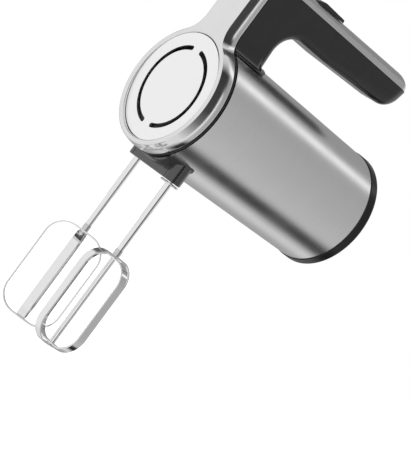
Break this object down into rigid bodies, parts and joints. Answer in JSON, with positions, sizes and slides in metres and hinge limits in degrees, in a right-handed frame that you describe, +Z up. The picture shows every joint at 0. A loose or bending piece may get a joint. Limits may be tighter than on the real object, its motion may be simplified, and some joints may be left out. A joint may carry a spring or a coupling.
{
  "type": "hand mixer",
  "caption": "Handheld kitchen mixer: round brushed-steel body, polished front ring with vent face, C-shaped black grip and strip-loop beaters.",
  "frame": {"origin": "bottom centre of the bounding box, level with the beater tips", "axes": "+Z up along the beater shafts, handle on top; front face towards -Y; +X across the body"},
  "size_m": [0.0958, 0.1807, 0.3036],
  "materials": {
    "sleeve_steel": "brushed along the body, satin",
    "bezel_chrome": "polished, mirror bright",
    "face_silver": "pearl silver, satin",
    "handle_black": "piano gloss",
    "cap_black": "gloss",
    "trim_silver": "silver-grey lacquer, satin",
    "control_black": "fine matt grain",
    "block_grey": "semi-gloss",
    "gasket_rubber": "matt",
    "beater_chrome": "polished",
    "steel_parts": "machined",
    "gear_nylon": "natural nylon",
    "frame_plastic": "moulded",
    "core_iron": "laminated",
    "winding_copper": "enamelled copper wire",
    "brush_carbon": "carbon",
    "board_green": "circuit board"
  },
  "bodies": {
    "root": {"body_sleeve": "sleeve_steel", "rear_cap": "cap_black", "front_bezel": "bezel_chrome", "vent_grille": "face_silver", "air_baffle": "frame_plastic", "bezel_gasket": "gasket_rubber", "handle_left_shell": "handle_black", "handle_right_shell": "handle_black", "handle_top_trim": "trim_silver", "handle_foot": "handle_black", "cord_inlet": "gasket_rubber", "socket_block": "block_grey", "switch_board": "board_green", "eject_spring": "steel_parts", "spring_shelf": "frame_plastic", "gearbox_base": "frame_plastic", "gearbox_cover": "frame_plastic", "gearbox_screw_left": "steel_parts", "gearbox_screw_right": "steel_parts", "handle_screw_1": "steel_parts", "handle_screw_2": "steel_parts", "stator_core": "core_iron", "left_field_coil": "winding_copper", "right_field_coil": "winding_copper", "front_bearing": "steel_parts", "rear_bearing": "steel_parts", "front_bracket": "frame_plastic", "rear_bracket": "frame_plastic", "left_brush": "brush_carbon", "right_brush": "brush_carbon", "left_brush_holder": "gear_nylon", "right_brush_holder": "gear_nylon"},
    "armature": {"motor_shaft": "steel_parts", "armature_core": "core_iron", "front_winding": "winding_copper", "rear_winding": "winding_copper", "commutator": "winding_copper", "cooling_fan": "gear_nylon", "worm": "steel_parts"},
    "left_drive": {"left_spindle": "steel_parts", "left_worm_wheel": "gear_nylon"},
    "right_drive": {"right_spindle": "steel_parts", "right_worm_wheel": "gear_nylon"},
    "left_beater": {"left_beater_shaft": "beater_chrome", "left_beater_hub": "steel_parts", "left_outer_loop": "beater_chrome", "left_inner_loop": "beater_chrome"},
    "right_beater": {"right_beater_shaft": "beater_chrome", "right_beater_hub": "steel_parts", "right_outer_loop": "beater_chrome", "right_inner_loop": "beater_chrome", "right_beater_collar": "beater_chrome"},
    "slider": {"speed_knob": "control_black", "slider_carriage": "gear_nylon"},
    "ejector": {"eject_button": "control_black", "eject_rod": "steel_parts", "eject_yoke": "frame_plastic"}
  },
  "joints": [
    {"name": "armature_spin", "type": "hinge", "parent": "root", "child": "armature", "pos_m": [0, -0.0083, 0.1915], "axis": [0, 1, 0], "continuous": true},
    {"name": "left_spindle_spin", "type": "hinge", "parent": "root", "child": "left_drive", "pos_m": [-0.0231, -0.0583, 0.1915], "axis": [0, 0, 1], "continuous": true},
    {"name": "right_spindle_spin", "type": "hinge", "parent": "root", "child": "right_drive", "pos_m": [0.0231, -0.0583, 0.1915], "axis": [0, 0, 1], "continuous": true},
    {"name": "left_beater_pull", "type": "slide", "parent": "left_drive", "child": "left_beater", "axis": [0, 0, -1], "range_m": [0, 0.06]},
    {"name": "right_beater_pull", "type": "slide", "parent": "right_drive", "child": "right_beater", "axis": [0, 0, -1], "range_m": [0, 0.06]},
    {"name": "speed_slide", "type": "slide", "parent": "root", "child": "slider", "axis": [0, -1, 0], "range_m": [0, 0.014]},
    {"name": "eject_press", "type": "slide", "parent": "root", "child": "ejector", "axis": [0, 0, -1], "range_m": [0, 0.004], "stiffness_N_per_m": 400, "springref_m": -0.004, "deforming": ["eject_spring"]}
  ],
  "couplings": [
    {"joint": "left_spindle_spin", "follows": "armature_spin", "ratio": -0.071429},
    {"joint": "right_spindle_spin", "follows": "armature_spin", "ratio": 0.071429}
  ]
}
